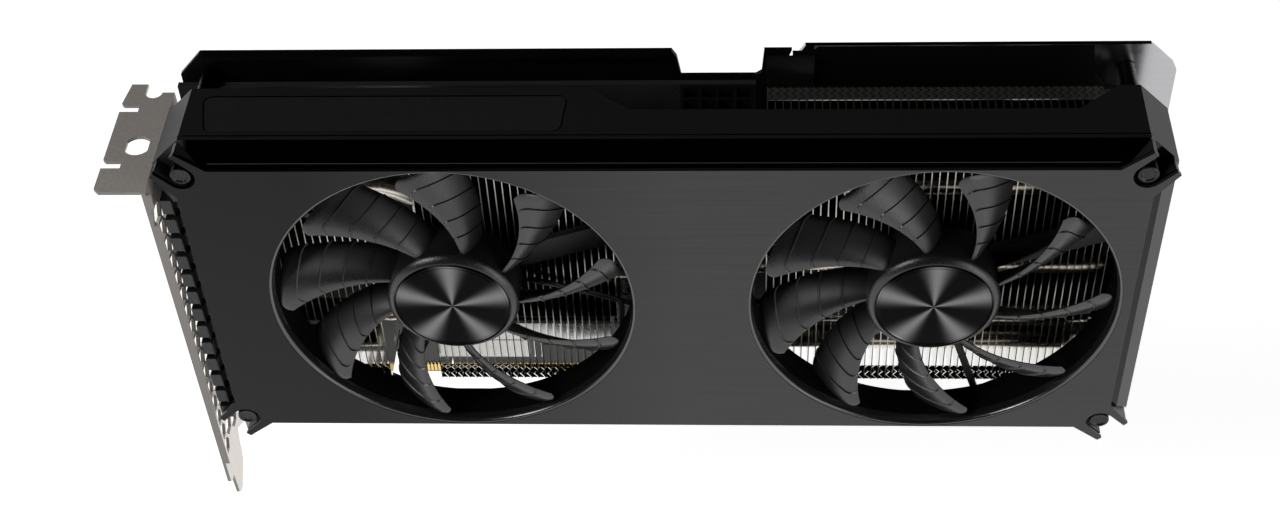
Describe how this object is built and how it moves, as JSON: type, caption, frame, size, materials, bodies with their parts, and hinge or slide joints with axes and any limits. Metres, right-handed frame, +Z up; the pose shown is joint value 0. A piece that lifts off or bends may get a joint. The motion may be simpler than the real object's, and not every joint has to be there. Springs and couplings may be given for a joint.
{
  "type": "graphics card",
  "caption": "Dual-slot graphics card: boxy shroud with cut corners, two spinning fans, fins and heat pipes over a board, perforated slot bracket and back plates.",
  "frame": {"origin": "underside of the bracket's screw tab, midway between the centres of the two case screws", "axes": "+X along the card away from the slot bracket, +Y from the fan side towards the back plate, +Z up from the edge connector to the top edge"},
  "size_m": [0.2556, 0.04, 0.1329],
  "materials": {
    "bracket_steel": "satin sheet steel with a faint grain",
    "brushed_plate": "dark grey brushed sheet, fine horizontal grain",
    "gloss_black": "black plastic, satin walls and a glossy bevel",
    "panel_grey": "very fine textured inlay",
    "blade_black": "fine-grained matte black",
    "spun_metal": "spun disc with radial sheen",
    "back_black": "satin powder coat",
    "mirror_grey": "polished dark metal",
    "board_black": "dark solder mask",
    "package_green": "laminate",
    "gold": "plated contacts",
    "chip_black": "moulded chip",
    "post_black": "black post with a socket head",
    "die_grey": "polished silicon",
    "socket_black": "moulded socket",
    "bright_steel": "plated steel",
    "bearing_brass": "sintered sleeve",
    "copper": "milled copper",
    "nickel": "nickel-plated pipe",
    "fin_metal": "thin stamped sheet",
    "coil_copper": "enamelled windings",
    "magnet_grey": "ring magnet",
    "cable_black": "thin insulated lead",
    "choke_grey": "pressed powder block"
  },
  "bodies": {
    "card": {"bracket": "bracket_steel", "bracket_screw_1": "bright_steel", "bracket_screw_2": "bright_steel", "front_plate": "brushed_plate", "shroud": "gloss_black", "logo_panel": "panel_grey", "corner_post_left_top": "post_black", "corner_post_left_bottom": "post_black", "corner_post_right_top": "post_black", "corner_post_right_bottom": "post_black", "fan_left_bearing": "bearing_brass", "fan_left_stator": "coil_copper", "fan_left_frame": "blade_black", "fan_left_cable": "cable_black", "fan_right_bearing": "bearing_brass", "fan_right_stator": "coil_copper", "fan_right_frame": "blade_black", "fan_right_cable": "cable_black", "fan_header": "socket_black", "fin_stack_left": "fin_metal", "fin_stack_middle": "fin_metal", "fin_stack_right": "fin_metal", "heat_pipe_1": "nickel", "heat_pipe_2": "nickel", "heat_pipe_3": "nickel", "cold_plate": "copper", "cooler_frame": "bright_steel", "cooler_screw_1": "bright_steel", "cooler_screw_2": "bright_steel", "cooler_screw_3": "bright_steel", "cooler_screw_4": "bright_steel", "pcb": "board_black", "edge_contacts_front": "gold", "edge_contacts_rear": "gold", "gpu_package": "package_green", "gpu_die": "die_grey", "memory_chip_1": "chip_black", "memory_chip_2": "chip_black", "memory_chip_3": "chip_black", "memory_chip_4": "chip_black", "memory_chip_5": "chip_black", "memory_chip_6": "chip_black", "power_choke_1": "choke_grey", "power_choke_2": "choke_grey", "power_choke_3": "choke_grey", "power_connector": "socket_black", "hdmi_socket": "bright_steel", "display_socket_1": "bright_steel", "display_socket_2": "bright_steel", "display_socket_3": "bright_steel", "backplate": "back_black", "rear_end_plate": "mirror_grey"},
    "fan_left": {"fan_left_rotor": "blade_black", "fan_left_hub_cap": "spun_metal", "fan_left_shaft": "bright_steel", "fan_left_magnet": "magnet_grey"},
    "fan_right": {"fan_right_rotor": "blade_black", "fan_right_hub_cap": "spun_metal", "fan_right_shaft": "bright_steel", "fan_right_magnet": "magnet_grey"}
  },
  "joints": [
    {"name": "fan_left_spin", "type": "hinge", "parent": "card", "child": "fan_left", "pos_m": [0.0739, -0.02756, -0.03669], "axis": [0, 1, 0], "continuous": true},
    {"name": "fan_right_spin", "type": "hinge", "parent": "card", "child": "fan_right", "pos_m": [0.1912, -0.02756, -0.03669], "axis": [0, 1, 0], "continuous": true}
  ]
}
